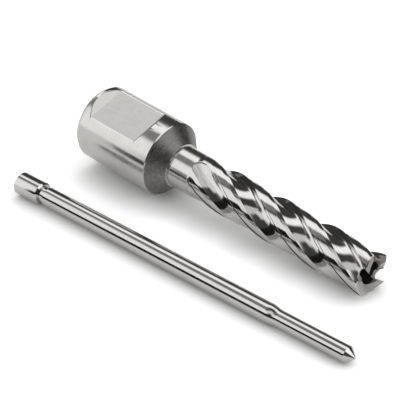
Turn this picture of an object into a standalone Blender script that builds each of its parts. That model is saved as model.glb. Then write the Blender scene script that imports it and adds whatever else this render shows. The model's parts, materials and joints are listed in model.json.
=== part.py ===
# Annular cutter and its pilot pin, lying side by side on a flat surface.
# Units are metres. +Z is up and +X runs from the shank towards the teeth.
# In the cutter's own frame the axis is X, and x = 0 is the front rim of the shank.
# Angles round the axis start at +Z and grow towards -Y, which is a positive turn about +X.

import math

import bmesh
import bpy
import numpy as np

# Shank, with two flats for the clamping screws of the arbor
SHANK_DIAMETER = 0.01905
SHANK_LENGTH = 0.0235
SHANK_BACK_CHAMFER_LENGTH = 0.0011
SHANK_BACK_CHAMFER_DEPTH = 0.0007
RIM_CHAMFER = 0.0002
FLAT_TO_AXIS = 0.00765
FLAT_LENGTH = 0.0145
FLAT_FRONT_LAND = 0.0056
FIRST_FLAT_ANGLE = math.radians(15.9)
ANGLE_BETWEEN_FLATS = math.radians(90.0)

# Cone and neck between the shank and the flutes
CONE_LENGTH = 0.0038
CONE_FRONT_DIAMETER = 0.0114
ROOT_FILLET = 0.0004
NECK_DIAMETER = 0.0107

# Fluted body
CUT_DIAMETER = 0.01111
FLUTED_REACH = 0.0642
HELIX_LEAD = 0.0588
TOOTH_COUNT = 4
TOOTH_ANGLE_AT_TIP = math.radians(48.8)
LAND_RELIEF = 0.00017
FLUTE_FOOT_DIAMETER = 0.0104
FLUTE_FLOOR_DIAMETER = 0.0079
FLUTE_CORNER_RISE = 0.00025
FLUTE_START = 0.0100
FLUTE_FULL_DEPTH_FROM = 0.0209
GRINDING_WHEEL_RADIUS = 0.015
WHEEL_SKEW = 0.0088

# Places round one tooth, in degrees behind its leading edge
MARGIN_SPAN = 6.0
MARGIN_STEP_SPAN = 0.8
LAND_SPAN = 26.5
HEEL_SPAN = 38.0
FLOOR_SPAN = 80.0
WALL_FOOT_SPAN = 89.0

# Teeth and the gullets between them
TOOTH_RELIEF_DROP = 0.0015
OUTER_BEVEL_DROP = 0.0009
INNER_BEVEL_DROP = 0.0008
RIDGE_DIAMETER = 0.0088
GULLET_DEPTH = 0.0026
GULLET_NOSE_RADIUS = 0.0014
GULLET_START_SPAN = 45.0
GULLET_WALL_SPAN = 0.4

# Bores
SLUG_BORE_DIAMETER = 0.0061
SLUG_BORE_DEPTH = 0.0536
SLUG_BORE_FLOOR_CONE = 0.0004
PIN_CLEARANCE = 0.0001
PILOT_MOUTH_CHAMFER = 0.0005

# Pilot pin
PIN_DIAMETER = 0.00476
PIN_SHAFT_LENGTH = 0.0703
PIN_HEAD_DIAMETER = 0.00568
PIN_HEAD_LENGTH = 0.0078
PIN_HEAD_CHAMFER = 0.0004
PIN_GROOVE_DIAMETER = 0.0039
PIN_GROOVE_LENGTH = 0.0017
PIN_SHOULDER_LENGTH = 0.0022
PIN_NOSE_DIAMETER = 0.0040
PIN_NOSE_LENGTH = 0.0195
PIN_POINT_LENGTH = 0.0019
PIN_POINT_FLAT_RADIUS = 0.0003

# How the two lie beside each other: the pin's head end from the shank's rim
PIN_HEAD_X = -0.0269
PIN_HEAD_Y = -0.0249
PIN_YAW = math.radians(0.94)

# Fineness of the meshes
RING_PITCH = 0.0014
RUN_OUT_PITCH = 0.0009
TIP_ZONE_RINGS = 4
PIN_SEGMENTS = 48
FLAT_CUTTER_MARGIN = 0.002
MERGE_DISTANCE = 0.000001
SHARP_EDGE_ANGLE = math.radians(28.0)

SHANK_RADIUS = SHANK_DIAMETER / 2
NECK_RADIUS = NECK_DIAMETER / 2
CUT_RADIUS = CUT_DIAMETER / 2
SLUG_BORE_RADIUS = SLUG_BORE_DIAMETER / 2
PILOT_BORE_RADIUS = PIN_DIAMETER / 2 + PIN_CLEARANCE
TOOTH_SPAN = 360.0 / TOOTH_COUNT
TURN_RATE = 2 * math.pi / HELIX_LEAD


def clear_scene():
    for old in list(bpy.data.objects):
        bpy.data.objects.remove(old)


def steel(name, colour, roughness):
    material = bpy.data.materials.new(name)
    material.use_nodes = True
    shader = material.node_tree.nodes["Principled BSDF"]
    shader.inputs["Base Color"].default_value = (*colour, 1.0)
    shader.inputs["Metallic"].default_value = 1.0
    shader.inputs["Roughness"].default_value = roughness
    return material


def add_object(name, mesh, material=None):
    node = bpy.data.objects.new(name, mesh)
    bpy.context.scene.collection.objects.link(node)
    if material:
        mesh.materials.append(material)
    return node


def shade_round(mesh):
    mesh.shade_smooth()
    mesh.set_sharp_from_angle(angle=SHARP_EDGE_ANGLE)


# Columns of the body: each follows the helix, at a fixed angle behind its tooth's leading edge
def column_spans():
    land = np.linspace(MARGIN_SPAN + MARGIN_STEP_SPAN, LAND_SPAN, 4)
    heel = [(LAND_SPAN + HEEL_SPAN) / 2, HEEL_SPAN]
    gullet = np.linspace(GULLET_START_SPAN + GULLET_WALL_SPAN, WALL_FOOT_SPAN, 9)
    spans = np.concatenate([[0.0, MARGIN_SPAN], land, heel, [GULLET_START_SPAN], gullet])
    return np.tile(spans, TOOTH_COUNT)


def column_teeth(spans):
    return np.arange(len(spans)) // (len(spans) // TOOTH_COUNT)


# Radius of the fluted body: margin, relieved land, heel facet, parabolic floor, corner fillet
def fluted_radius(spans):
    land_radius = CUT_RADIUS - LAND_RELIEF
    foot = FLUTE_FOOT_DIAMETER / 2
    floor = FLUTE_FLOOR_DIAMETER / 2
    heel = land_radius + (foot - land_radius) * (spans - LAND_SPAN) / (HEEL_SPAN - LAND_SPAN)
    along_floor = (spans - HEEL_SPAN) / (FLOOR_SPAN - HEEL_SPAN)
    bowl = floor + (foot - floor) * (1 - along_floor) ** 2
    corner = floor + FLUTE_CORNER_RISE * ((spans - FLOOR_SPAN) / (WALL_FOOT_SPAN - FLOOR_SPAN)) ** 2
    return np.select(
        [spans <= MARGIN_SPAN, spans <= LAND_SPAN, spans <= HEEL_SPAN, spans <= FLOOR_SPAN],
        [CUT_RADIUS, land_radius, heel, bowl],
        corner,
    )


# The grinding wheel leaves each flute along its own radius, first at the heel and last at the wall
def run_out_rise(x, spans):
    full_depth_from = FLUTE_FULL_DEPTH_FROM - WHEEL_SKEW * np.radians(TOOTH_SPAN - spans)
    short_of_full = np.maximum(full_depth_from - x, 0.0)
    return short_of_full ** 2 / (2 * GRINDING_WHEEL_RADIUS)


# Turned outline of the blank, ahead of which the flutes are ground
def blank_radius(x):
    cone_front = CONE_FRONT_DIAMETER / 2
    stations = [
        -SHANK_LENGTH,
        -SHANK_LENGTH + SHANK_BACK_CHAMFER_LENGTH,
        -RIM_CHAMFER,
        0.0,
        CONE_LENGTH,
        CONE_LENGTH + ROOT_FILLET,
        FLUTE_START,
        FLUTE_START + RUN_OUT_PITCH,
    ]
    radii = [
        SHANK_RADIUS - SHANK_BACK_CHAMFER_DEPTH,
        SHANK_RADIUS,
        SHANK_RADIUS,
        SHANK_RADIUS - RIM_CHAMFER,
        cone_front,
        NECK_RADIUS,
        NECK_RADIUS,
        CUT_RADIUS,
    ]
    return stations, np.interp(x, stations, radii)


def body_radius(x, spans):
    blank = np.full(len(spans), blank_radius(x)[1])
    ground = fluted_radius(spans) + run_out_rise(x, spans)
    return np.minimum(blank, ground) if x > FLUTE_START else blank


# The columns turn through a whole number of teeth up to the gullets, so that their ends meet
# those of the bore, which run straight
def tip_zone_start():
    return FLUTED_REACH - GULLET_DEPTH - RING_PITCH


def teeth_turned():
    return math.ceil((tip_zone_start() - FLUTE_START) * TOOTH_COUNT / HELIX_LEAD)


def twist_start():
    return tip_zone_start() - teeth_turned() * HELIX_LEAD / TOOTH_COUNT


def ring(x, radius, spans, turned_to=None):
    x = np.broadcast_to(x, spans.shape)
    turned_to = np.maximum(x, twist_start()) if turned_to is None else turned_to
    angle = TOOTH_ANGLE_AT_TIP - TURN_RATE * (FLUTED_REACH - turned_to)
    angle = angle - np.radians(TOOTH_SPAN * column_teeth(spans) + spans)
    return np.stack([x, -radius * np.sin(angle), radius * np.cos(angle)], axis=-1)


# Height of the wall's end: each tooth falls away behind its leading edge, a round-nosed gullet
# is cut ahead of the next one
def wall_end(spans):
    relieved = FLUTED_REACH - TOOTH_RELIEF_DROP * spans / GULLET_START_SPAN
    half_width = (WALL_FOOT_SPAN - GULLET_START_SPAN - GULLET_WALL_SPAN) / 2
    across = np.clip((spans - WALL_FOOT_SPAN + half_width) / half_width, -1.0, 1.0)
    nose = GULLET_NOSE_RADIUS * (1 - np.sqrt(1 - across ** 2))
    return np.where(spans > GULLET_START_SPAN, FLUTED_REACH - GULLET_DEPTH + nose, relieved)


def outer_rings(spans):
    tip_zone = tip_zone_start()
    run_out = np.arange(FLUTE_START, FLUTE_FULL_DEPTH_FROM, RUN_OUT_PITCH)
    turned = np.arange(twist_start(), tip_zone - RING_PITCH / 2, RING_PITCH)
    turned = turned[(turned < FLUTE_START) | (turned > run_out[-1])]
    corners = np.array(blank_radius(0.0)[0])
    near_corner = np.abs(turned[:, None] - corners).min(axis=1) < RING_PITCH / 4
    stations = np.unique(np.concatenate([corners, turned[~near_corner], run_out]).round(7))
    rings = [ring(x, body_radius(x, spans), spans) for x in stations]
    for share in np.linspace(0.0, 1.0, TIP_ZONE_RINGS):
        radius = body_radius(tip_zone, spans)
        proud = np.maximum(radius - RIDGE_DIAMETER / 2, 0.0) / (CUT_RADIUS - RIDGE_DIAMETER / 2)
        edge = wall_end(spans) - OUTER_BEVEL_DROP * proud
        rings.append(ring(tip_zone + share * (edge - tip_zone), radius, spans))
    return rings


def tooth_end_rings(spans):
    outer = body_radius(FLUTED_REACH, spans)
    ridge = np.minimum(RIDGE_DIAMETER / 2, (outer + SLUG_BORE_RADIUS) / 2)
    end = wall_end(spans)
    inner_end = end - INNER_BEVEL_DROP
    rings = [ring(end, ridge, spans)]
    for share in np.linspace(1.0, 0.0, TIP_ZONE_RINGS)[:-1]:
        x = tip_zone_start() + share * (inner_end - tip_zone_start())
        rings.append(ring(x, SLUG_BORE_RADIUS, spans))
    return rings


# Slug bore from the teeth, then the pilot bore to a small chamfer at the back of the shank
def bore_rings(spans):
    floor_x = FLUTED_REACH - SLUG_BORE_DEPTH
    back = -SHANK_LENGTH
    outline = [
        (tip_zone_start(), SLUG_BORE_RADIUS),
        (floor_x, SLUG_BORE_RADIUS),
        (floor_x - SLUG_BORE_FLOOR_CONE, PILOT_BORE_RADIUS),
        (back + PILOT_MOUTH_CHAMFER, PILOT_BORE_RADIUS),
        (back, PILOT_BORE_RADIUS + PILOT_MOUTH_CHAMFER),
    ]
    return [ring(x, radius, spans, turned_to=tip_zone_start()) for x, radius in outline]


# A band of quads joins each ring to the next. The last ring meets the first a few columns on.
def skin_closed(name, rings, columns_on):
    points = np.concatenate(rings + [np.roll(rings[0], columns_on, axis=0)])
    columns = len(rings[0])
    row = np.arange(len(rings))[:, None] * columns
    column = np.arange(columns)[None, :]
    next_column = np.roll(column, -1, axis=1)
    low, high = row + column, row + columns + column
    low_next, high_next = row + next_column, row + columns + next_column
    faces = np.stack([low, low_next, high_next, high], axis=-1)
    mesh = bpy.data.meshes.new(name)
    mesh.from_pydata(points.tolist(), [], faces.reshape(-1, 4).tolist())
    return mesh


def face_outwards(mesh):
    shape = bmesh.new()
    shape.from_mesh(mesh)
    bmesh.ops.remove_doubles(shape, verts=shape.verts, dist=MERGE_DISTANCE)
    bmesh.ops.triangulate(shape, faces=shape.faces)
    bmesh.ops.recalc_face_normals(shape, faces=shape.faces)
    shape.to_mesh(mesh)
    shape.free()


# A flat is milled down to its bottom and runs out at 45 degrees at both ends
def flat_cutter(name, angle, body):
    top = SHANK_RADIUS + FLAT_CUTTER_MARGIN
    rise = top - FLAT_TO_AXIS
    front = -FLAT_FRONT_LAND
    back = front - FLAT_LENGTH
    outline = [(back, FLAT_TO_AXIS), (front, FLAT_TO_AXIS), (front + rise, top), (back - rise, top)]
    shape = bmesh.new()
    side = shape.faces.new([shape.verts.new((x, -top, z)) for x, z in outline])
    pushed = bmesh.ops.extrude_face_region(shape, geom=[side])
    moved = [item for item in pushed["geom"] if isinstance(item, bmesh.types.BMVert)]
    bmesh.ops.translate(shape, verts=moved, vec=(0.0, 2 * top, 0.0))
    bmesh.ops.recalc_face_normals(shape, faces=shape.faces)
    mesh = bpy.data.meshes.new(name)
    shape.to_mesh(mesh)
    shape.free()
    cutter = add_object(name, mesh)
    cutter.parent = body
    cutter.rotation_euler.x = angle
    cutter.hide_render = True
    cutter.display_type = "WIRE"
    cut = body.modifiers.new(name, "BOOLEAN")
    cut.operation = "DIFFERENCE"
    cut.solver = "EXACT"
    cut.object = cutter


def make_cutter():
    spans = column_spans()
    rings = outer_rings(spans) + tooth_end_rings(spans) + bore_rings(spans)
    columns_on = teeth_turned() * len(spans) // TOOTH_COUNT % len(spans)
    mesh = skin_closed("cutter", rings, columns_on)
    face_outwards(mesh)
    shade_round(mesh)
    body = add_object("cutter", mesh, steel("ground_steel", (0.62, 0.61, 0.59), 0.22))
    flat_cutter("first_flat_cut", FIRST_FLAT_ANGLE, body)
    flat_cutter("second_flat_cut", FIRST_FLAT_ANGLE - ANGLE_BETWEEN_FLATS, body)
    return body


# Half outline of the pin from its head to its point, as pairs of distance and radius
def pin_outline():
    head = PIN_HEAD_DIAMETER / 2
    shaft = PIN_DIAMETER / 2
    nose = PIN_NOSE_DIAMETER / 2
    groove = PIN_GROOVE_DIAMETER / 2
    steps = [
        (0.0, 0.0),
        (0.0, head - PIN_HEAD_CHAMFER),
        (PIN_HEAD_CHAMFER, head),
        (PIN_HEAD_LENGTH - 2 * PIN_HEAD_CHAMFER, head),
        (PIN_HEAD_CHAMFER, head - PIN_HEAD_CHAMFER),
        (0.0, groove),
        (PIN_GROOVE_LENGTH, groove),
        (0.0, shaft),
        (PIN_SHAFT_LENGTH, shaft),
        (PIN_SHOULDER_LENGTH, nose),
        (PIN_NOSE_LENGTH, nose),
        (PIN_POINT_LENGTH, PIN_POINT_FLAT_RADIUS),
        (0.0, 0.0),
    ]
    distances = np.cumsum([step[0] for step in steps])
    return [(x, radius) for x, (_, radius) in zip(distances, steps)]


def make_pin():
    shape = bmesh.new()
    points = [shape.verts.new((x, 0.0, radius)) for x, radius in pin_outline()]
    edges = [shape.edges.new(pair) for pair in zip(points, points[1:])]
    bmesh.ops.spin(
        shape,
        geom=points + edges,
        cent=(0, 0, 0),
        axis=(1, 0, 0),
        angle=2 * math.pi,
        steps=PIN_SEGMENTS,
        use_merge=True,
    )
    mesh = bpy.data.meshes.new("pilot_pin")
    shape.to_mesh(mesh)
    shape.free()
    face_outwards(mesh)
    shade_round(mesh)
    return add_object("pilot_pin", mesh, steel("turned_steel", (0.60, 0.59, 0.57), 0.26))


def vertex_array(mesh):
    flat = np.empty(3 * len(mesh.vertices))
    mesh.vertices.foreach_get("co", flat)
    return flat.reshape(-1, 3)


# Distance along the axis of a triangle mesh's centre of mass, from its signed tetrahedra
def balance_x(mesh):
    corners = np.empty(3 * len(mesh.polygons), dtype=int)
    mesh.polygons.foreach_get("vertices", corners)
    a, b, c = vertex_array(mesh)[corners.reshape(-1, 3)].transpose(1, 0, 2)
    volume = np.einsum("ij,ij->i", a, np.cross(b, c))
    return (volume * (a + b + c)[:, 0]).sum() / (4 * volume.sum())


# Underside of the side view: the points of its lower hull, from back to front
def underside(points):
    hull = []
    for x, z in sorted(map(tuple, points[:, [0, 2]])):
        while len(hull) > 1:
            (x0, z0), (x1, z1) = hull[-2:]
            if (x1 - x0) * (z - z0) - (z1 - z0) * (x - x0) > 0:
                break
            hull.pop()
        hull.append((x, z))
    return hull


# Tips a turned piece onto the two places of its underside that its weight lies between
def lie_down(node):
    balance = balance_x(node.data)
    hull = underside(vertex_array(node.data))
    heel, toe = next(pair for pair in zip(hull, hull[1:]) if pair[1][0] > balance)
    node.rotation_euler.y = math.atan2(toe[1] - heel[1], toe[0] - heel[0])
    bpy.context.view_layer.update()
    node.location.z = -world_points(node)[:, 2].min()


def world_points(node):
    matrix = np.array(node.matrix_world)
    return vertex_array(node.data) @ matrix[:3, :3].T + matrix[:3, 3]


# Puts the origin in the middle of the floor area that both pieces cover
def centre_on_floor(nodes):
    bpy.context.view_layer.update()
    points = np.concatenate([world_points(node) for node in nodes])
    middle = (points.min(axis=0) + points.max(axis=0)) / 2
    for node in nodes:
        node.location.x -= middle[0]
        node.location.y -= middle[1]


def main():
    clear_scene()
    cutter = make_cutter()
    pin = make_pin()
    lie_down(cutter)
    pin.rotation_euler.z = PIN_YAW
    lie_down(pin)
    pin.location.x = PIN_HEAD_X
    pin.location.y = PIN_HEAD_Y
    centre_on_floor([cutter, pin])


main()
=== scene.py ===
import json
import math

import bpy
import numpy as np
from mathutils import Matrix, Vector


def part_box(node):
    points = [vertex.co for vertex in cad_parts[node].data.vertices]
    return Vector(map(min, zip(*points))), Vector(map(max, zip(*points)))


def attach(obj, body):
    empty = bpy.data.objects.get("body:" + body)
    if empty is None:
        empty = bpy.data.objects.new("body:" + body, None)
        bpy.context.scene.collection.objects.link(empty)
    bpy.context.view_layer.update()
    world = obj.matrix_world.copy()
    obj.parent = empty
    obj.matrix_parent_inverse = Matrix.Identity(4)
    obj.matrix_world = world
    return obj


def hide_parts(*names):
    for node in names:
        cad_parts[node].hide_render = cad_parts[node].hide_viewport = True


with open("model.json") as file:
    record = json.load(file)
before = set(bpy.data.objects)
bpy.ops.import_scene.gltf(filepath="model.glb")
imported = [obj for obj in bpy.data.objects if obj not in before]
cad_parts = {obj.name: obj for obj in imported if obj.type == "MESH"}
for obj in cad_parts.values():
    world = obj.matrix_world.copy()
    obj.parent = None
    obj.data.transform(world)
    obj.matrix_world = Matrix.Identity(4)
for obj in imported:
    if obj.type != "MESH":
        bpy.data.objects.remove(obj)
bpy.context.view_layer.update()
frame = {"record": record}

mm = 0.001
nearly = 1e-4             # two lengths that are closer than this, in millimetres, count as one

# The cutter, in millimetres along its axis from the shank's front rim; angles and spans are in
# degrees, and a span is counted back from a tooth's leading edge
cutterValues = {
    "shankRadius": 9.525,
    "shankLength": 23.5,
    "backChamferLength": 1.1,
    "backChamferDepth": 0.7,
    "backFaceEdge": 0.15,             # narrow ring that keeps the back face's edge crisp
    "rimChamfer": 0.2,
    "flatToAxis": 7.65,
    "flatLength": 14.5,
    "flatFrontLand": 5.6,
    "firstFlatAngle": 15.9,
    "angleBetweenFlats": 90.0,
    "coneLength": 3.8,
    "coneFrontRadius": 5.7,
    "coneEdge": 0.05,                 # bright ring where the cone ends
    "rootGrooveRadius": 5.22,
    "rootGrooveSteps": (0.15, 0.45, 0.7),     # its floor's two ends, and where the neck begins
    "neckRadius": 5.35,
    "cutRadius": 5.555,
    "flutedReach": 64.2,
    "helixLead": 58.8,
    "toothCount": 4,
    "toothAngleAtTip": 48.8,
    "landRelief": 0.17,
    "edgeWear": 0.05,                 # how much lower the wall ends than the leading edge
    "fluteFootRadius": 5.2,
    "fluteFloorRadius": 3.95,
    "fluteCornerRise": 0.25,
    "fluteStart": 10.0,
    "neckShoulder": 1.2,              # length over which the blank widens to the cutting radius
    "fullDepthFrom": 20.9,
    "wheelRadius": 15.0,
    "wheelSkew": 8.8,
    "marginSpan": 6.0,
    "marginStepSpan": 0.8,
    "landSpan": 26.5,
    "heelSpan": 38.0,
    "floorSpan": 80.0,
    "wallFootSpan": 89.0,
    "reliefDrop": 1.5,
    "outerBevelDrop": 0.9,
    "innerBevelDrop": 0.8,
    "ridgeRadius": 4.4,
    "gulletDepth": 2.6,
    "gulletNose": 1.4,
    "gulletStartSpan": 45.0,
    "gulletWallSpan": 0.4,
    "toothRoot": 0.3,                 # from the gullets' deepest point back to the last full ring
    "boreRadius": 3.05,
    "boreDepth": 53.6,
    "boreFloorCone": 0.4,
    # Deeper than this, the bore's steel is painted dark for the shade inside the bore
    "brightMouth": 1.9,               # depth of the bore that is ground as the teeth are
    "pilotRadius": 2.48,
    "pilotChamfer": 0.5,
    "rowPitch": 0.32,
    "landColumns": 12,
    "heelColumns": 6,
    "gulletColumns": 34,
    "rampRows": 22,                   # in each run-out of the flats
    "flatRows": 7,
    "coneRows": 9,
    "flankRows": 14,
    "bevelRows": 6,
    "mouthRows": 10,
    "sharpAngle": 24.0,
}

# Which finish a face of the cutter has, as the number of its material
shankZone, flatZone, coneZone, fluteZone, toothZone, boreZone = range(6)


# Span of one tooth with its flute
def pitchSpan(v):
    return 360.0 / v["toothCount"]


# Where the twist ends: the last ring before the gullets cut into the wall
def toothRootX(v):
    return v["flutedReach"] - v["gulletDepth"] - v["toothRoot"]


# Front and back end of the flats, and the length of the run-outs beyond both
def flatEnds(v):
    front = -v["flatFrontLand"]
    return front, front - v["flatLength"], v["shankRadius"] - v["flatToAxis"]


# Spans of one tooth's columns: dense at the leading edge, the margin step and the gullet walls
def columnSpans(v):
    margin, land, heel = v["marginSpan"], v["landSpan"], v["heelSpan"]
    stepEnd = margin + v["marginStepSpan"]
    gullet, foot, wall = v["gulletStartSpan"], v["wallFootSpan"], v["gulletWallSpan"]
    pitch = pitchSpan(v)
    parts = [
        [0.0, 0.25],                                    # leading edge
        np.linspace(1.0, margin - 0.5, 4),
        np.linspace(margin, stepEnd, 3),
        np.linspace(margin + 2.4, land - 0.4, v["landColumns"]),
        np.linspace(land + 0.4, heel, v["heelColumns"]),
        np.linspace(heel + 1.0, gullet - 0.8, 5),
        [gullet, gullet + wall],                        # the gullet's steep side
        np.linspace(gullet + 1.2, foot - 1.0, v["gulletColumns"]),
        [foot - wall, foot],                            # foot of the next leading wall
        [pitch - 0.65, pitch - 0.35],
    ]
    return np.concatenate(parts)


# Radius over the span: margin, stepped-down land, straight heel facet, parabola to the floor,
# parabola up to the foot of the leading wall, then the wall itself
def flutedRadius(spans, v):
    land = v["cutRadius"] - v["landRelief"]
    foot, floor = v["fluteFootRadius"], v["fluteFloorRadius"]
    margin, wallFoot = v["marginSpan"], v["wallFootSpan"]
    landEnd, heelEnd, floorSpan = v["landSpan"], v["heelSpan"], v["floorSpan"]
    step = np.interp(spans, [margin, margin + v["marginStepSpan"]], [v["cutRadius"], land])
    heel = land + (foot - land) * (spans - landEnd) / (heelEnd - landEnd)
    bowl = floor + (foot - floor) * (1 - (spans - heelEnd) / (floorSpan - heelEnd)) ** 2
    wallBase = floor + v["fluteCornerRise"]
    corner = floor + v["fluteCornerRise"] * ((spans - floorSpan) / (wallFoot - floorSpan)) ** 2
    wall = np.interp(spans, [wallFoot, pitchSpan(v)], [wallBase, v["cutRadius"] - v["edgeWear"]])
    before = [spans <= landEnd, spans <= heelEnd, spans <= floorSpan, spans <= wallFoot]
    return np.select(before, [step, heel, bowl, corner], wall)


# Turned outline of the blank from the back of the shank to the flutes, as stations and radii
def blankOutline(v):
    cone, neck = v["coneLength"], v["neckRadius"]
    grooveStart, grooveEnd, neckStart = v["rootGrooveSteps"]
    return np.array([
        [-v["shankLength"], v["shankRadius"] - v["backChamferDepth"]],
        [-v["shankLength"] + v["backChamferLength"], v["shankRadius"]],
        [-v["rimChamfer"], v["shankRadius"]],
        [0.0, v["shankRadius"] - v["rimChamfer"]],
        [cone, v["coneFrontRadius"]],
        [cone + grooveStart, v["rootGrooveRadius"]],
        [cone + grooveEnd, v["rootGrooveRadius"]],
        [cone + neckStart, neck],
        [v["fluteStart"], neck],
        [v["fluteStart"] + v["neckShoulder"], v["cutRadius"]],
    ])


# Radius of the plane of a flat: its height over the cosine of the angle to its normal. The height
# grows by one for one past the flat's ends, which makes the 45 degree run-outs
def flatRadius(x, angle, flatAngle, v):
    front, back, _ = flatEnds(v)
    height = v["flatToAxis"] + np.maximum(0.0, np.maximum(back - x, x - front))
    facing = np.cos(angle - math.radians(flatAngle))
    sideOn, outOfReach = 0.3, 99.0
    return np.where(facing > sideOn, height / np.maximum(facing, sideOn), outOfReach)


# Height of the tube's end: falls in proportion to the span behind each leading edge, and is a half
# circle in the gullet
def wallEnd(spans, v):
    half = (v["wallFootSpan"] - v["gulletStartSpan"] - v["gulletWallSpan"]) / 2
    across = np.clip((spans - v["wallFootSpan"] + half) / half, -1.0, 1.0)
    nose = v["gulletNose"] * (1 - np.sqrt(1 - across ** 2))
    relieved = v["flutedReach"] - v["reliefDrop"] * spans / v["gulletStartSpan"]
    gulletSide = v["gulletStartSpan"] + v["gulletWallSpan"] / 2
    inGullet = (spans > gulletSide) & (spans <= v["wallFootSpan"])
    return np.where(inGullet, v["flutedReach"] - v["gulletDepth"] + nose, relieved)


# Rows of the outside, from the back of the shank to the root of the teeth. The radius is the
# blank's or, where lower, the flute's plus its run-out: the square of the way to full depth over
# twice the wheel's radius
def outsideRows(spans, v):
    outline = blankOutline(v)
    front, back, ramp = flatEnds(v)
    root = toothRootX(v)
    chamferEnd = -v["shankLength"] + v["backChamferLength"]
    stations = np.unique(np.concatenate([
        outline[:, 0],
        np.linspace(-v["shankLength"], chamferEnd, 4),
        np.linspace(back - ramp, back, v["rampRows"]),
        np.linspace(back, front, v["flatRows"]),
        np.linspace(front, front + ramp, v["rampRows"]),
        [-1.0, -v["rimChamfer"] / 2],                   # two rows that keep the rim crisp
        np.linspace(0.0, v["coneLength"], v["coneRows"]),
        np.arange(root - v["helixLead"], v["fluteStart"], v["rowPitch"]),
        np.arange(v["fluteStart"], root, v["rowPitch"]),
    ]).round(4))
    x = np.repeat(stations[:, None], len(spans), axis=1)
    blank = np.interp(x, outline[:, 0], outline[:, 1])
    fullDepthFrom = v["fullDepthFrom"] - v["wheelSkew"] * np.radians(pitchSpan(v) - spans)
    rise = np.maximum(fullDepthFrom - x, 0.0) ** 2 / (2 * v["wheelRadius"])
    flute = flutedRadius(spans, v)[None, :] + rise
    return x, np.where(x > v["fluteStart"], np.minimum(blank, flute), blank), blank


# Rows over the teeth: out from their root to the edge, in over the outer bevel to the ridge, and
# down the inner bevel to the bore, each in even shares
def toothRows(spans, v):
    end, fluted = wallEnd(spans, v), flutedRadius(spans, v)
    root, ridgeRadius = toothRootX(v), v["ridgeRadius"]
    proud = np.maximum(fluted - ridgeRadius, 0.0) / (v["cutRadius"] - ridgeRadius)
    edge = end - v["outerBevelDrop"] * proud
    ridge = np.minimum(ridgeRadius, (fluted + v["boreRadius"]) / 2)
    share = np.linspace(0.0, 1.0, v["flankRows"])[1:, None]
    flank = root + share * (edge - root), np.repeat(fluted[None, :], len(share), axis=0)
    share = np.linspace(0.0, 1.0, v["bevelRows"])[1:, None]
    outer = edge + share * (end - edge), fluted + share * (ridge - fluted)
    inner = end - v["innerBevelDrop"] * share, ridge + share * (v["boreRadius"] - ridge)
    return flank, outer, inner


# Rows back through the bores: from the teeth to a level ring in the slug bore, then, as straight
# columns, its coned floor, the pilot bore and the back face
def boreRows(mouth, v):
    back = -v["shankLength"]
    floor = v["flutedReach"] - v["boreDepth"]
    root = toothRootX(v)
    share = np.linspace(1.0, 0.0, v["mouthRows"])[1:, None]
    x = root + share * (mouth - root)
    steps = np.array([
        [floor, v["boreRadius"]],
        [floor - v["boreFloorCone"], v["pilotRadius"]],
        [back + v["pilotChamfer"], v["pilotRadius"]],
        [back, v["pilotRadius"] + v["pilotChamfer"]],
        [back, v["shankRadius"] - v["backChamferDepth"] - v["backFaceEdge"]],
    ])
    straightX = np.repeat(steps[:, :1], len(mouth), axis=1)
    straightRadius = np.repeat(steps[:, 1:], len(mouth), axis=1)
    return (x, np.full(x.shape, v["boreRadius"])), (straightX, straightRadius)


# Moves the columns that are nearest to the flats' long edges right onto them; on the cone they
# go back to their own place
def snapToFlats(angle, x, flats, v):
    halfFlat = math.degrees(math.acos(v["flatToAxis"] / v["shankRadius"]))
    onShank = np.clip(1 - x / v["coneLength"], 0.0, 1.0)
    for flat in flats:
        for edge in (flat - halfFlat, flat + halfFlat):
            away = (math.radians(edge) - angle[0] + math.pi) % (2 * math.pi) - math.pi
            nearest = np.argmin(np.abs(away))
            angle[:, nearest] += away[nearest] * onShank[:, nearest]


# The closed skin as x, radius, angle, angle without twist and finish of every point: outside from
# the back of the shank to the teeth, over them, and back through the bores. The twist is a full
# turn for each lead, from one lead behind the root of the teeth
def cutterRings(v):
    spans = np.tile(columnSpans(v), v["toothCount"])
    outX, outRadius, blank = outsideRows(spans, v)
    flank, outer, inner = toothRows(spans, v)
    bore, straight = boreRows(inner[0][-1], v)
    x = np.concatenate([outX, flank[0], outer[0], inner[0], bore[0], straight[0]])
    radius = np.concatenate([outRadius, flank[1], outer[1], inner[1], bore[1], straight[1]])
    outside = len(outX)
    flankEnd = outside + len(flank[0])
    bevelEnd = flankEnd + len(outer[0]) + len(inner[0])

    root = toothRootX(v)
    twisted = np.clip(x, root - v["helixLead"], None)
    twisted[-len(straight[0]):] = root
    tooth = np.repeat(np.arange(v["toothCount"]), len(spans) // v["toothCount"])
    behindTip = 2 * math.pi / v["helixLead"] * (v["flutedReach"] - twisted)
    untwisted = -np.radians(pitchSpan(v) * tooth + spans) + 0 * x
    angle = math.radians(v["toothAngleAtTip"]) - behindTip + untwisted

    zones = np.full(x.shape, shankZone)
    flats = v["firstFlatAngle"], v["firstFlatAngle"] - v["angleBetweenFlats"]
    snapToFlats(angle[:outside], outX, flats, v)
    for flat in flats:
        cut = flatRadius(outX, angle[:outside], flat, v)
        lower = (outX < 0.0) & (cut < radius[:outside] - nearly)
        radius[:outside][lower] = cut[lower]
        zones[:outside][lower] = flatZone

    fluteStart, coneEnd = v["fluteStart"], v["coneLength"] - v["coneEdge"]
    zones[:outside][(outX > -nearly) & (outX < coneEnd)] = coneZone
    ground = (outX > fluteStart) & (outRadius < blank - nearly)
    zones[:outside][ground | (outX > fluteStart + v["neckShoulder"])] = fluteZone
    zones[outside:flankEnd] = fluteZone
    zones[flankEnd:bevelEnd] = toothZone
    # Past the bright mouth the bore takes the steel that is painted dark for its shade
    bright = x[bevelEnd:] > v["flutedReach"] - v["brightMouth"]
    zones[bevelEnd:] = np.where(bright, toothZone, boreZone)
    zones[-2:] = [[toothZone], [shankZone]]             # back face and the ring round it
    return x, radius, angle, untwisted, zones


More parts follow.
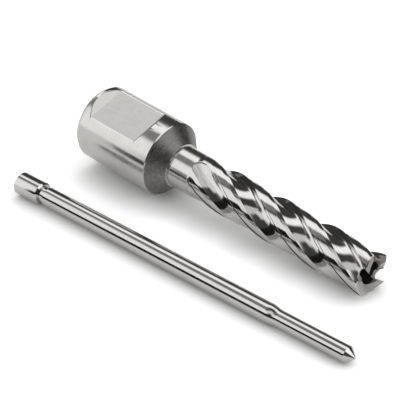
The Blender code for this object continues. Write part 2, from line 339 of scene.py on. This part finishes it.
# Grid of rows and columns made into a closed mesh. Without poles the last row joins the first; with
# two poles, points on the axis, the first and the last row are closed with triangles
def closedSkin(name, points, poles=None):
    rows, columns = points.shape[:2]
    row = np.arange(rows if poles is None else rows - 1)[:, None]
    column = np.arange(columns)[None, :]
    nextRow, nextColumn = (row + 1) % rows, (column + 1) % columns
    corners = [row * columns + nextColumn, row * columns + column, nextRow * columns + column,
               nextRow * columns + nextColumn]
    loops = np.stack(corners, axis=-1).reshape(-1)
    starts = np.arange(0, loops.size, 4)
    vertices = points.reshape(-1, 3)
    if poles is not None:
        around, following = column[0], nextColumn[0]
        lastRow = (rows - 1) * columns
        firstPole = np.full(columns, rows * columns)
        first = np.stack([around, following, firstPole], axis=-1)
        last = np.stack([lastRow + following, lastRow + around, firstPole + 1], axis=-1)
        ends = np.concatenate([first, last]).reshape(-1)
        starts = np.concatenate([starts, loops.size + np.arange(0, ends.size, 3)])
        loops = np.concatenate([loops, ends])
        vertices = np.concatenate([vertices, poles])
    mesh = bpy.data.meshes.new(name)
    mesh.vertices.add(len(vertices))
    mesh.vertices.foreach_set("co", vertices.reshape(-1).astype(np.float32))
    mesh.loops.add(loops.size)
    mesh.loops.foreach_set("vertex_index", loops.astype(np.int32))
    mesh.polygons.add(len(starts))
    mesh.polygons.foreach_set("loop_start", starts.astype(np.int32))
    mesh.update(calc_edges=True)
    mesh.validate()
    piece = bpy.data.objects.new(name, mesh)
    bpy.context.scene.collection.objects.link(piece)
    return piece


# Keeps a place in millimetres per vertex, in which the marks of the finish run along an axis
def storeGrain(piece, points):
    attribute = piece.data.attributes.new("grain", "FLOAT_VECTOR", "POINT")
    attribute.data.foreach_set("vector", points.reshape(-1).astype(np.float32))


# Smooth shading, but crisp where two faces meet at more than the angle
def shadeRound(piece, sharpAngle):
    piece.data.shade_smooth()
    piece.data.set_sharp_from_angle(angle=math.radians(sharpAngle))


# Where the CAD holds the cutter: its axis points away from the back face's normal, it is
# level with the middle of its box across, and its rim touches the floor
def cutterPlace(v):
    mounts = {mount["name"]: mount for mount in frame["record"]["mounts"]}
    back = mounts["shank_end"]
    alongAxis = -Vector(back["axis"]).normalized()
    low, high = (Vector(corner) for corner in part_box("cutter"))
    radius = v["shankRadius"] * mm
    rimHeight = radius * math.hypot(alongAxis.x, alongAxis.y)
    rim = Vector((0.0, (low.y + high.y) / 2, rimHeight))
    behindRim = (rim - Vector(back["pos_m"])).dot(alongAxis)
    rim.x = (v["shankLength"] * mm - behindRim) / alongAxis.x
    across = Vector((0.0, 0.0, 1.0)).cross(alongAxis).normalized()
    upwards = alongAxis.cross(across)
    turn = Matrix((alongAxis, across, upwards)).transposed()
    return turn, rim


# Points at x along the axis, at a radius and an angle that grows from up towards -Y
def placed(x, radius, angle, turn, origin):
    parts = np.broadcast_arrays(x, -radius * np.sin(angle), radius * np.cos(angle))
    local = np.stack(parts, axis=-1) * mm
    return local @ np.array(turn).T + np.array(origin)


# A face takes the finish of its first corner; one on a flat's edge is milled only if all four are
def makeCutter():
    v = cutterValues
    x, radius, angle, untwisted, zones = cutterRings(v)
    turn, rim = cutterPlace(v)
    piece = closedSkin("cutterBody", placed(x, radius, angle, turn, rim))
    grain = np.stack([x, radius * np.cos(untwisted), radius * np.sin(untwisted)], axis=-1)
    storeGrain(piece, grain)
    nextRow = np.roll(zones, -1, 0)
    corners = np.stack([zones, nextRow, np.roll(zones, -1, 1), np.roll(nextRow, -1, 1)])
    faceZones = np.where(zones == flatZone, corners.min(axis=0), zones)
    piece.data.polygons.foreach_set("material_index", faceZones.reshape(-1).astype(np.int32))
    shadeRound(piece, v["sharpAngle"])
    return piece


# The pilot pin, in millimetres from its head end; the angles are in degrees
pinValues = {
    "shaftRadius": 2.38,
    "shaftLength": 70.3,
    "shaftEdge": 0.1,
    "headRadius": 2.84,
    "headLength": 7.8,
    "headChamfer": 0.4,
    "grooveRadius": 1.95,
    "grooveLength": 1.7,
    "shoulderLength": 2.2,
    "noseRadius": 2.0,
    "noseLength": 19.5,
    "pointLength": 1.9,
    "pointFlat": 0.3,
    "columns": 96,
    "rowPitch": 1.5,
    "sharpAngle": 24.0,
    "yaw": 0.94,
    "noseDown": 0.364,
}


# Half outline of the pin between its two ends on the axis, as distances and radii
def pinOutline(v):
    steps = np.array([
        [0.0, v["headRadius"] - v["headChamfer"]],
        [v["headChamfer"], v["headRadius"]],
        [v["headLength"] - 2 * v["headChamfer"], v["headRadius"]],
        [v["headChamfer"], v["headRadius"] - v["headChamfer"]],
        [0.0, v["grooveRadius"]],
        [v["grooveLength"], v["grooveRadius"]],
        [0.0, v["shaftRadius"] - v["shaftEdge"]],
        [v["shaftEdge"], v["shaftRadius"]],
        [v["shaftLength"] - v["shaftEdge"], v["shaftRadius"]],
        [v["shoulderLength"], v["noseRadius"]],
        [v["noseLength"], v["noseRadius"]],
        [v["pointLength"], v["pointFlat"]],
    ])
    return np.cumsum(steps[:, 0]), steps[:, 1]


# The outline turned round its axis: rings at the outline's steps and in between, which lie in the
# middle of the box that the CAD's pin fills
def makePin():
    v = pinValues
    x, radius = pinOutline(v)
    inside = np.setdiff1d(np.arange(v["rowPitch"], x[-1], v["rowPitch"]), x.round(6))
    stations = np.concatenate([x, inside])
    radii = np.concatenate([radius, np.interp(inside, x, radius)])
    order = np.argsort(stations, kind="stable")
    stations, radii = stations[order][:, None], radii[order][:, None]
    angle = np.linspace(0.0, 2 * math.pi, v["columns"], endpoint=False)[None, :]
    yaw = Matrix.Rotation(math.radians(v["yaw"]), 3, "Z")
    turn = yaw @ Matrix.Rotation(math.radians(v["noseDown"]), 3, "Y")
    grid = placed(stations, radii, -angle, turn, (0, 0, 0))
    points = grid.reshape(-1, 3)
    low, high = (Vector(corner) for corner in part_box("pilot_pin"))
    origin = np.array((low + high) / 2) - (points.min(axis=0) + points.max(axis=0)) / 2
    poles = placed(np.array([0.0, x[-1]]), np.zeros(2), np.zeros(2), turn, origin)
    piece = closedSkin("pinBody", grid + origin, poles)
    rings = np.broadcast_arrays(stations, radii * np.cos(angle), radii * np.sin(angle))
    poleGrain = np.array([[0.0, 0.0, 0.0], [x[-1], 0.0, 0.0]])
    storeGrain(piece, np.concatenate([np.stack(rings, axis=-1).reshape(-1, 3), poleGrain]))
    shadeRound(piece, v["sharpAngle"])
    return piece


print("modelling the cutter")
cutterBody = makeCutter()
print("modelling the pilot pin")
pinBody = makePin()


# Empty material with its node tree and its shader
def newMaterial(name):
    material = bpy.data.materials.new(name)
    material.use_nodes = True
    tree = material.node_tree
    return material, tree, tree.nodes["Principled BSDF"]


# Bare steel whose grinding marks are long along one axis of the grain and short across it
def steelMaterial(name, v):
    material, tree, shader = newMaterial(name)
    shader.inputs["Metallic"].default_value = 1.0
    link = tree.links.new
    grain = tree.nodes.new("ShaderNodeAttribute")
    grain.attribute_name = "grain"
    lines, clouds = (tree.nodes.new("ShaderNodeTexNoise") for _ in range(2))
    lineDetail, cloudDetail = 3.0, 2.0
    noiseLow, noiseHigh = 0.3, 0.7        # nearly all of the noise lies between
    both = (lines, v["lines"], lineDetail), (clouds, v["clouds"], cloudDetail)
    for noise, scale, detail in both:
        stretch = tree.nodes.new("ShaderNodeVectorMath")
        stretch.operation = "MULTIPLY"
        stretch.inputs[1].default_value = scale
        link(grain.outputs["Vector"], stretch.inputs[0])
        link(stretch.outputs[0], noise.inputs["Vector"])
        noise.inputs["Scale"].default_value = 1.0
        noise.inputs["Detail"].default_value = detail
    marks = tree.nodes.new("ShaderNodeMix")
    marks.inputs["Factor"].default_value = v["cloudShare"]
    link(lines.outputs["Fac"], marks.inputs["A"])
    link(clouds.outputs["Fac"], marks.inputs["B"])
    tone = tree.nodes.new("ShaderNodeMapRange")
    shine = tree.nodes.new("ShaderNodeMapRange")
    for spread, (low, high) in ((tone, v["tone"]), (shine, v["roughness"])):
        spread.inputs["From Min"].default_value = noiseLow
        spread.inputs["From Max"].default_value = noiseHigh
        spread.inputs["To Min"].default_value = low
        spread.inputs["To Max"].default_value = high
        link(marks.outputs["Result"], spread.inputs["Value"])
    colour = tree.nodes.new("ShaderNodeVectorMath")
    colour.operation = "SCALE"
    colour.inputs[0].default_value = v["colour"]
    link(tone.outputs[0], colour.inputs["Scale"])
    link(colour.outputs[0], shader.inputs["Base Color"])
    link(shine.outputs[0], shader.inputs["Roughness"])
    bump = tree.nodes.new("ShaderNodeBump")
    bump.inputs["Strength"].default_value = v["bump"]
    bump.inputs["Distance"].default_value = v["bumpHeight"] * mm
    link(lines.outputs["Fac"], bump.inputs["Height"])
    link(bump.outputs[0], shader.inputs["Normal"])
    return material


# Finishes: how many marks per millimetre along the piece and across it, how they tint and roughen
# the steel, and how deep they are in millimetres
finishValues = {
    "groundShank": {
        "colour": (0.62, 0.61, 0.59), "tone": (0.86, 1.1), "roughness": (0.13, 0.22),
        "lines": (6.0, 0.15, 0.15), "clouds": (0.25, 0.25, 0.25), "cloudShare": 0.45,
        "bump": 0.15, "bumpHeight": 0.01,
    },
    "milledFlat": {
        "colour": (0.69, 0.68, 0.66), "tone": (0.74, 1.14), "roughness": (0.3, 0.42),
        "lines": (0.3, 3.0, 3.0), "clouds": (0.3, 0.45, 0.45), "cloudShare": 0.65,
        "bump": 0.2, "bumpHeight": 0.02,
    },
    "turnedCone": {
        "colour": (0.26, 0.255, 0.245), "tone": (0.65, 1.25), "roughness": (0.33, 0.45),
        "lines": (2.6, 1.1, 1.1), "clouds": (0.6, 0.8, 0.8), "cloudShare": 0.3,
        "bump": 0.6, "bumpHeight": 0.06,
    },
    "groundFlute": {
        "colour": (0.62, 0.61, 0.59), "tone": (0.86, 1.08), "roughness": (0.06, 0.14),
        "lines": (0.04, 3.5, 3.5), "clouds": (0.1, 0.5, 0.5), "cloudShare": 0.2,
        "bump": 0.45, "bumpHeight": 0.02,
    },
    "groundTooth": {
        "colour": (0.66, 0.64, 0.61), "tone": (0.85, 1.1), "roughness": (0.6, 0.7),
        "lines": (4.0, 1.5, 1.5), "clouds": (0.8, 0.8, 0.8), "cloudShare": 0.5,
        "bump": 0.4, "bumpHeight": 0.02,
    },
    # Painted shade: near-black steel that makes the deep bore look shaded
    "paintedShadeBore": {
        "colour": (0.13, 0.125, 0.12), "tone": (0.8, 1.1), "roughness": (0.5, 0.6),
        "lines": (3.0, 0.2, 0.2), "clouds": (0.5, 0.5, 0.5), "cloudShare": 0.4,
        "bump": 0.3, "bumpHeight": 0.03,
    },
    "groundPin": {
        "colour": (0.6, 0.59, 0.57), "tone": (0.92, 1.06), "roughness": (0.08, 0.14),
        "lines": (7.0, 0.2, 0.2), "clouds": (0.2, 0.5, 0.5), "cloudShare": 0.4,
        "bump": 0.15, "bumpHeight": 0.01,
    },
}

print("finishing the steel")
for finish, values in finishValues.items():
    owner = pinBody if finish == "groundPin" else cutterBody
    owner.data.materials.append(steelMaterial(finish, values))
pieces = (cutterBody, "cutter", "cutter_steel"), (pinBody, "pilot_pin", "pin_steel")
for piece, node, slot in pieces:
    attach(piece, "root")
    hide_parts(node)

# Camera at the photo's viewing angle; its place is in millimetres from the point where the
# shank's rim touches the floor, and its elevation and azimuth are in degrees
cameraValues = {
    "place": (262.80, -272.69, 247.12),
    "elevation": 33.668,
    "azimuth": 42.476,
    "lens": 158.53,
    "sensor": 36.0,
    "nearest": 10.0,
}


# Looks down by the elevation, turned by the azimuth; without a turn it looks along +Y
def makeCamera(v):
    turn, rim = cutterPlace(cutterValues)
    touch = rim - turn @ Vector((0.0, 0.0, cutterValues["shankRadius"] * mm))
    camera = bpy.data.objects.new("camera", bpy.data.cameras.new("camera"))
    bpy.context.scene.collection.objects.link(camera)
    camera.data.lens = v["lens"]
    camera.data.sensor_width = v["sensor"]
    camera.data.clip_start = v["nearest"] * mm
    camera.location = touch + Vector(v["place"]) * mm
    tilt = math.radians(90.0 - v["elevation"])
    camera.rotation_euler = (tilt, 0.0, math.radians(v["azimuth"]))
    bpy.context.scene.camera = camera


# The floor is lifted to white for the camera, but less where something stands near it, which
# paints a soft shadow into its glow. Cards and the shadow's reach are in millimetres. Boxes are
# bright fields of the sky: the direction of their middle and its height above the horizon, how far
# they reach from it, and how soft their edge is, in degrees
studioValues = {
    "floorSize": 4.0,                 # in metres
    "floorColour": (0.9, 0.9, 0.9),
    "floorLift": 0.46,
    "floorGlint": 0.02,               # what the steel's reflections get on top
    "shadowReach": 9.0,
    "shadowDepth": 2.0,
    "shadowSamples": 8,
    "dark": 0.06,                     # the sky between the boxes
    "fill": 0.8,                      # even light from the sky on what is matt
    "fillLean": 0.85,                 # how much of it comes from the back
    "cardColour": (0.012, 0.012, 0.012),
    "cards": {
        "farCard": {"left": -105.0, "right": 75.0, "front": 125.0, "bottom": 0.5, "top": 52.0},
        "nearCard": {"left": -63.0, "right": 62.0, "front": 39.0, "bottom": 2.6, "top": 12.6},
    },
    "boxes": {
        "left": {"azimuth": -135.0, "height": 24.0, "width": 28.0, "rise": 26.0,
                 "edge": 5.0, "level": 1.2},
        "back": {"azimuth": 127.0, "height": 55.0, "width": 46.0, "rise": 12.0,
                 "edge": 5.0, "level": 1.4},
        "gap": {"azimuth": -172.0, "height": 58.0, "width": 28.0, "rise": 13.0,
                "edge": 5.0, "level": 0.28},
        "right": {"azimuth": 18.0, "height": 38.0, "width": 30.0, "rise": 12.0,
                  "edge": 5.0, "level": 1.55},
        "top": {"azimuth": -82.0, "height": 78.0, "width": 52.0, "rise": 15.0,
                "edge": 5.0, "level": 0.8},
        "frontLeft": {"azimuth": -111.0, "height": 55.0, "width": 10.0, "rise": 14.0,
                      "edge": 4.0, "level": 1.0},
        "front": {"azimuth": -70.0, "height": 50.0, "width": 9.0, "rise": 16.0,
                  "edge": 4.0, "level": 1.3},
    },
}


# Output of a math node whose inputs are numbers or the outputs of other nodes
def mathNode(tree, operation, first, second=None):
    node = tree.nodes.new("ShaderNodeMath")
    node.operation = operation
    for socket, value in zip(node.inputs, (first, second)):
        if isinstance(value, (int, float)):
            socket.default_value = value
        elif value is not None:
            tree.links.new(value, socket)
    return node.outputs[0]


# Matt paper without any gloss
def paperMaterial(name, colour):
    material, tree, shader = newMaterial(name)
    shader.inputs["Base Color"].default_value = (*colour, 1.0)
    shader.inputs["Roughness"].default_value = 1.0
    shader.inputs["Specular IOR Level"].default_value = 0.0
    return material, tree, shader


# Flat sheet between its four corners, in metres
def paperSheet(name, corners, material):
    mesh = bpy.data.meshes.new(name)
    mesh.from_pydata(corners, [], [(0, 1, 2, 3)])
    mesh.materials.append(material)
    sheet = bpy.data.objects.new(name, mesh)
    bpy.context.scene.collection.objects.link(sheet)
    return sheet


# The floor's own glow is, to the camera, the openness above it to the power of the shadow's depth
# times the lift, a shadow painted into the glow, and a small even glint in the steel's reflections
def makeFloor(v):
    material, tree, shader = paperMaterial("paper", v["floorColour"])
    path = tree.nodes.new("ShaderNodeLightPath")
    nearness = tree.nodes.new("ShaderNodeAmbientOcclusion")
    nearness.samples = v["shadowSamples"]
    nearness.inputs["Distance"].default_value = v["shadowReach"] * mm
    openness = mathNode(tree, "POWER", nearness.outputs["AO"], v["shadowDepth"])
    lift = mathNode(tree, "MULTIPLY", openness, v["floorLift"])
    seen = mathNode(tree, "MULTIPLY", path.outputs["Is Camera Ray"], lift)
    mirrored = mathNode(tree, "MULTIPLY", path.outputs["Is Glossy Ray"], v["floorGlint"])
    tree.links.new(mathNode(tree, "ADD", seen, mirrored), shader.inputs["Emission Strength"])
    shader.inputs["Emission Color"].default_value = (1.0, 1.0, 1.0, 1.0)
    half = v["floorSize"] / 2
    corners = [(-half, -half, 0), (half, -half, 0), (half, half, 0), (-half, half, 0)]
    paperSheet("floor", corners, material)


# Black cards that stand in front of the object, seen only where the steel mirrors them
def makeCards(v):
    material, _, _ = paperMaterial("blackPaper", v["cardColour"])
    for name, card in v["cards"].items():
        left, right, y = card["left"] * mm, card["right"] * mm, -card["front"] * mm
        low, high = card["bottom"] * mm, card["top"] * mm
        corners = [(left, y, low), (right, y, low), (right, y, high), (left, y, high)]
        sheet = paperSheet(name, corners, material)
        sheet.visible_camera = False
        sheet.visible_diffuse = False
        sheet.visible_shadow = False


# One inside the reach on both sides of the middle, nought beyond it, with a smooth edge
def fadeNode(tree, offset, reach, edge):
    fade = tree.nodes.new("ShaderNodeMapRange")
    fade.interpolation_type = "SMOOTHSTEP"
    fade.inputs["From Min"].default_value = math.radians(reach - edge)
    fade.inputs["From Max"].default_value = math.radians(reach + edge)
    fade.inputs["To Min"].default_value = 1.0
    fade.inputs["To Max"].default_value = 0.0
    tree.links.new(mathNode(tree, "ABSOLUTE", offset), fade.inputs["Value"])
    return fade.outputs["Result"]


# How far a direction of the sky is from the middle of a box, round the horizon and upwards, gives
# the box's light; the brightest box counts
def boxesLight(tree, direction, v):
    light = v["dark"]
    for box in v["boxes"].values():
        turned = tree.nodes.new("ShaderNodeVectorRotate")
        turned.rotation_type = "Z_AXIS"
        turned.inputs["Angle"].default_value = -math.radians(box["azimuth"])
        tree.links.new(direction, turned.inputs["Vector"])
        split = tree.nodes.new("ShaderNodeSeparateXYZ")
        tree.links.new(turned.outputs[0], split.inputs[0])
        azimuth = mathNode(tree, "ARCTAN2", split.outputs["Y"], split.outputs["X"])
        height = mathNode(tree, "ARCSINE", split.outputs["Z"])
        above = mathNode(tree, "SUBTRACT", height, math.radians(box["height"]))
        sideways = fadeNode(tree, azimuth, box["width"], box["edge"])
        upright = fadeNode(tree, above, box["rise"], box["edge"])
        shape = mathNode(tree, "MULTIPLY", sideways, upright)
        light = mathNode(tree, "MAXIMUM", mathNode(tree, "MULTIPLY", shape, box["level"]), light)
    return light


# White to the camera, the leaning fill to what is matt, and the boxes to what is bright
def makeWorld(v):
    world = bpy.data.worlds.new("studio")
    bpy.context.scene.world = world
    world.use_nodes = True
    tree = world.node_tree
    direction = tree.nodes.new("ShaderNodeTexCoord").outputs["Generated"]
    light = boxesLight(tree, direction, v)
    path = tree.nodes.new("ShaderNodeLightPath")
    sides = tree.nodes.new("ShaderNodeSeparateXYZ")
    tree.links.new(direction, sides.inputs[0])
    lean = mathNode(tree, "MULTIPLY", sides.outputs["Y"], v["fill"] * v["fillLean"])
    fill = mathNode(tree, "ADD", lean, v["fill"])
    matt = mathNode(tree, "MULTIPLY", path.outputs["Is Diffuse Ray"], fill)
    light = mathNode(tree, "MAXIMUM", matt, light)
    seen = mathNode(tree, "MAXIMUM", path.outputs["Is Camera Ray"], light)
    tree.links.new(seen, tree.nodes["Background"].inputs["Color"])


print("setting up the studio")
makeCamera(cameraValues)
makeFloor(studioValues)
makeCards(studioValues)
makeWorld(studioValues)
bpy.context.scene.view_settings.view_transform = "Standard"
